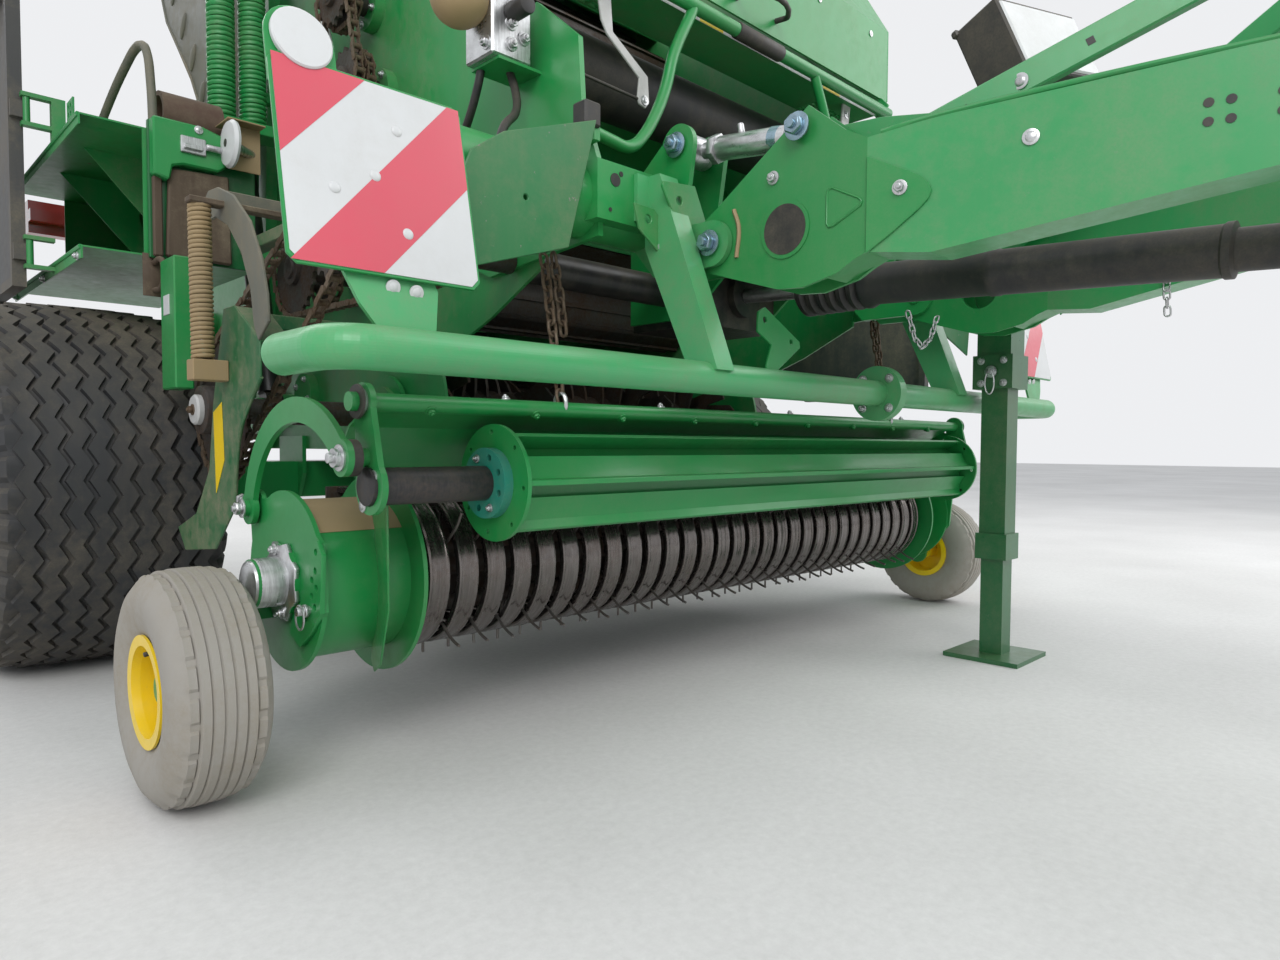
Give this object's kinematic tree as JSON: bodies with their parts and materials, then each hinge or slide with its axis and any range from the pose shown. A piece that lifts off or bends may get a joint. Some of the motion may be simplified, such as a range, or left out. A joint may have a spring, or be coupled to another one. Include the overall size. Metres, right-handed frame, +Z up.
{
  "type": "round baler",
  "caption": "Towed fixed-chamber round baler with a camless pickup, crop press roller, rotor, roller chamber, lifting tailgate and a parking jack.",
  "frame": {"origin": "on the ground under the middle of the machine's bounding box", "axes": "-Y points forward to the towing eye, +Y to the tailgate, +X to the machine's left, +Z up"},
  "size_m": [2.88, 4.42, 2.36],
  "materials": {
    "green_sheet": "satin paint with dust and rubbed edges",
    "dark_green_frame": "satin paint with dust",
    "lime_frame": "satin paint, scuffed",
    "bare_steel": "worn and dull",
    "dark_steel": "worked, dusty",
    "zinc": "zinc plated",
    "wheel_paint": "silver-white paint, dirty",
    "yellow_rim": "yellow paint, dirty",
    "tyre": "dusty rubber",
    "worn_tyre": "worn dusty rubber",
    "black_plastic": "ribbed, dusty",
    "black_paint": "satin paint",
    "board_sheet": "white sheet with blank red stripes",
    "chain_steel": "oily and rusty",
    "lamp_red": "glossy lens"
  },
  "bodies": {
    "frame": {"side_wall_right": "dark_green_frame", "side_wall_left": "dark_green_frame", "front_beam": "green_sheet", "drawbar": "green_sheet", "hitch_eye": "bare_steel", "top_links": "zinc", "axle": "green_sheet", "guard_tube": "lime_frame", "warning_boards": "board_sheet", "net_box": "green_sheet", "net_drum": "black_paint", "front_rollers": "dark_steel", "feed_floor": "dark_steel", "roof": "green_sheet", "gearbox": "black_paint", "pto_guard": "black_plastic", "drive_sprockets": "bare_steel", "drive_chains": "chain_steel", "chain_guard": "green_sheet", "springs": "green_sheet", "valve_block": "zinc", "twine_boxes": "green_sheet", "control_box": "black_plastic", "hose_supports": "green_sheet", "jack_sleeve": "dark_green_frame", "hold_chains": "zinc"},
    "wheel_right": {"tyre_right": "tyre", "rim_right": "wheel_paint"},
    "wheel_left": {"tyre_left": "tyre", "rim_left": "wheel_paint"},
    "pickup": {"pickup_frame": "lime_frame", "stripper_bands": "dark_steel"},
    "reel": {"reel": "dark_steel"},
    "gauge_wheel_right": {"gauge_tyre_right": "worn_tyre", "gauge_rim_right": "yellow_rim"},
    "gauge_wheel_left": {"gauge_tyre_left": "worn_tyre", "gauge_rim_left": "yellow_rim"},
    "press": {"press_arms": "lime_frame"},
    "press_roller": {"press_roller": "bare_steel"},
    "rotor": {"rotor": "dark_steel"},
    "pto": {"pto_shaft": "bare_steel"},
    "gate": {"gate_sides": "green_sheet", "gate_shell": "green_sheet", "rear_rollers": "dark_steel", "rear_lamps": "lamp_red"},
    "gate_barrel_right": {"gate_barrel_right": "black_paint"},
    "gate_rod_right": {"gate_rod_right": "zinc"},
    "gate_barrel_left": {"gate_barrel_left": "black_paint"},
    "gate_rod_left": {"gate_rod_left": "zinc"},
    "door_right": {"door_right": "green_sheet"},
    "door_left": {"door_left": "green_sheet"},
    "lid": {"net_lid": "green_sheet"},
    "jack_leg": {"jack_leg": "dark_green_frame"},
    "jack_foot": {"jack_foot": "dark_green_frame"}
  },
  "joints": [
    {"name": "wheel_right_spin", "type": "hinge", "parent": "frame", "child": "wheel_right", "pos_m": [-1.19, 1.2, 0.466], "axis": [1, 0, 0], "continuous": true},
    {"name": "wheel_left_spin", "type": "hinge", "parent": "frame", "child": "wheel_left", "pos_m": [1.19, 1.2, 0.466], "axis": [1, 0, 0], "continuous": true},
    {"name": "pickup_lift", "type": "hinge", "parent": "frame", "child": "pickup", "pos_m": [0, 0.58, 0.65], "axis": [-1, 0, 0], "range_deg": [0, 14], "deforming": ["hold_chains"]},
    {"name": "reel_spin", "type": "hinge", "parent": "pickup", "child": "reel", "pos_m": [0, 0.02, 0.335], "axis": [1, 0, 0], "continuous": true},
    {"name": "gauge_wheel_right_spin", "type": "hinge", "parent": "pickup", "child": "gauge_wheel_right", "pos_m": [-1.28, 0, 0.1875], "axis": [1, 0, 0], "continuous": true},
    {"name": "gauge_wheel_left_spin", "type": "hinge", "parent": "pickup", "child": "gauge_wheel_left", "pos_m": [1.28, 0, 0.1875], "axis": [1, 0, 0], "continuous": true},
    {"name": "press_lift", "type": "hinge", "parent": "pickup", "child": "press", "pos_m": [0, 0.143, 0.456], "axis": [-1, 0, 0], "range_deg": [0, 10]},
    {"name": "press_roller_spin", "type": "hinge", "parent": "press", "child": "press_roller", "pos_m": [0, -0.245, 0.508], "axis": [1, 0, 0], "continuous": true},
    {"name": "rotor_spin", "type": "hinge", "parent": "frame", "child": "rotor", "pos_m": [0, 0.58, 0.65], "axis": [1, 0, 0], "continuous": true},
    {"name": "pto_spin", "type": "hinge", "parent": "frame", "child": "pto", "pos_m": [0, -0.1, 0.9558], "axis": [0, -0.9988, -0.048], "continuous": true},
    {"name": "gate_lift", "type": "hinge", "parent": "frame", "child": "gate", "pos_m": [0, 1.314, 2.33], "axis": [1, 0, 0], "range_deg": [0, 65]},
    {"name": "gate_barrel_right_tilt", "type": "hinge", "parent": "frame", "child": "gate_barrel_right", "pos_m": [-0.69, 1.18, 0.7], "axis": [1, 0, 0], "range_deg": [-4.5, 0]},
    {"name": "gate_rod_right_slide", "type": "slide", "parent": "gate_barrel_right", "child": "gate_rod_right", "axis": [0, 0.248, 0.9688], "range_m": [0, 0.442]},
    {"name": "gate_barrel_left_tilt", "type": "hinge", "parent": "frame", "child": "gate_barrel_left", "pos_m": [0.69, 1.18, 0.7], "axis": [1, 0, 0], "range_deg": [-4.5, 0]},
    {"name": "gate_rod_left_slide", "type": "slide", "parent": "gate_barrel_left", "child": "gate_rod_left", "axis": [0, 0.248, 0.9688], "range_m": [0, 0.442]},
    {"name": "door_right_swing", "type": "hinge", "parent": "frame", "child": "door_right", "pos_m": [-1.3, 1.12, 1.05], "axis": [0, 0, 1], "range_deg": [0, 180]},
    {"name": "door_left_swing", "type": "hinge", "parent": "frame", "child": "door_left", "pos_m": [1.3, 1.12, 1.05], "axis": [0, 0, 1], "range_deg": [0, 180]},
    {"name": "net_lid_lift", "type": "hinge", "parent": "frame", "child": "lid", "pos_m": [0, 0.294, 2.236], "axis": [-1, 0, 0], "range_deg": [0, 70]},
    {"name": "jack_leg_slide", "type": "slide", "parent": "frame", "child": "jack_leg", "axis": [0, 0, 1], "range_m": [0, 0.27]},
    {"name": "jack_foot_slide", "type": "slide", "parent": "jack_leg", "child": "jack_foot", "axis": [0, 0, 1], "range_m": [0, 0.25]}
  ],
  "couplings": [
    {"joint": "gate_barrel_right_tilt", "follows": "gate_lift", "ratio": -0.068},
    {"joint": "gate_barrel_left_tilt", "follows": "gate_lift", "ratio": -0.068},
    {"joint": "gate_rod_right_slide", "follows": "gate_lift", "m_per_rad": 0.3877},
    {"joint": "gate_rod_left_slide", "follows": "gate_lift", "m_per_rad": 0.3877}
  ]
}
